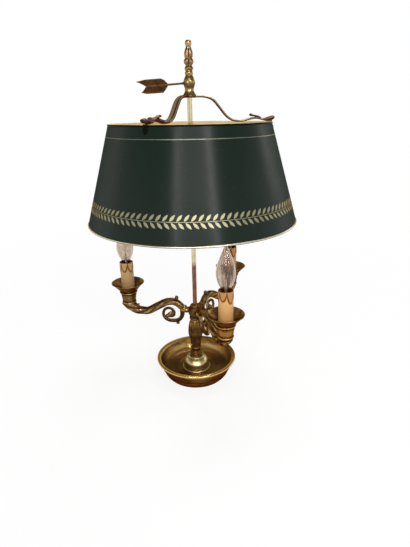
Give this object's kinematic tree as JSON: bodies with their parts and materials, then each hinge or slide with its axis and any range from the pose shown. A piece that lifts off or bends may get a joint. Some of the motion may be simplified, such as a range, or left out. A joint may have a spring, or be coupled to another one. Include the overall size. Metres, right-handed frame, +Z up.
{
  "type": "bouillotte lamp",
  "caption": "Table lamp with candle arms on a brass stem in a round dish, under a green metal shade that slides and turns on a central rod and is clamped by an arrow key.",
  "frame": {"origin": "middle of the felt pad's underside, on the table", "axes": "+Z up along the rod, -Y toward the viewer, +X to the viewer's right"},
  "size_m": [0.356, 0.356, 0.5901],
  "materials": {
    "dish_brass": "polished, warm yellow, lightly worn",
    "foot_brass": "dark reddish patina",
    "cast_iron": "raw casting",
    "felt": "felt",
    "bushing": "moulded",
    "steel": "plated",
    "antique_brass": "dark antique, polished on the high places",
    "rod_brass": "polished",
    "socket_body": "moulded phenolic",
    "sleeve": "cream, with painted wax drips",
    "bulb_glass": "clear",
    "bulb_base": "rolled screw shell",
    "bulb_mount": "drawn wire on a glass stem",
    "shade_enamel": "satin dark green enamel, gold leaf band",
    "shade_bead": "dark rolled edge",
    "gilt_bead": "gilt rolled edge"
  },
  "bodies": {
    "base": {"base_dish": "dish_brass", "foot_ring": "foot_brass", "base_weight": "cast_iron", "felt_pad": "felt", "inlet_bushing": "bushing", "base_washer": "steel", "base_nut": "steel", "stem_tube": "steel", "stem_foot": "dish_brass", "stem_column": "antique_brass", "arm_hub": "antique_brass", "hub_cap": "antique_brass", "candle_arm_front": "antique_brass", "candle_cup_front": "antique_brass", "drip_pan_front": "antique_brass", "socket_nipple_front": "steel", "lamp_socket_front": "socket_body", "candle_sleeve_front": "sleeve", "candle_arm_back": "antique_brass", "candle_cup_back": "antique_brass", "drip_pan_back": "antique_brass", "socket_nipple_back": "steel", "lamp_socket_back": "socket_body", "candle_sleeve_back": "sleeve", "candle_arm_left": "antique_brass", "candle_cup_left": "antique_brass", "drip_pan_left": "antique_brass", "socket_nipple_left": "steel", "lamp_socket_left": "socket_body", "candle_sleeve_left": "sleeve"},
    "rod": {"shade_rod": "rod_brass", "finial": "antique_brass"},
    "carrier": {"carrier_collar": "antique_brass", "carrier_arm_left": "antique_brass", "carrier_arm_right": "antique_brass", "carrier_arm_back": "antique_brass", "shade_shell": "shade_enamel", "shade_top_bead": "shade_bead", "shade_bottom_bead": "gilt_bead", "shade_screws": "antique_brass", "shade_nuts": "steel"},
    "key": {"arrow_key": "antique_brass"},
    "bulb_front": {"bulb_glass_front": "bulb_glass", "bulb_base_front": "bulb_base", "bulb_mount_front": "bulb_mount"},
    "bulb_back": {"bulb_glass_back": "bulb_glass", "bulb_base_back": "bulb_base", "bulb_mount_back": "bulb_mount"},
    "bulb_left": {"bulb_glass_left": "bulb_glass", "bulb_base_left": "bulb_base", "bulb_mount_left": "bulb_mount"}
  },
  "joints": [
    {"name": "shade_swivel", "type": "hinge", "parent": "base", "child": "rod", "pos_m": [0, 0, 0.14], "axis": [0, 0, 1], "continuous": true},
    {"name": "shade_height", "type": "slide", "parent": "rod", "child": "carrier", "axis": [0, 0, 1], "range_m": [-0.15, 0]},
    {"name": "key_turn", "type": "hinge", "parent": "carrier", "child": "key", "pos_m": [0, 0, 0.53], "axis": [-0.9977, 0, -0.068], "range_deg": [0, 180]},
    {"name": "bulb_front_turn", "type": "hinge", "parent": "base", "child": "bulb_front", "pos_m": [0.0487, -0.12053, 0.21], "axis": [0, 0, 1], "range_deg": [0, 360]},
    {"name": "bulb_back_turn", "type": "hinge", "parent": "base", "child": "bulb_back", "pos_m": [0.07641, 0.10517, 0.21], "axis": [0, 0, 1], "range_deg": [0, 360]},
    {"name": "bulb_left_turn", "type": "hinge", "parent": "base", "child": "bulb_left", "pos_m": [-0.12716, 0.02703, 0.21], "axis": [0, 0, 1], "range_deg": [0, 360]}
  ]
}
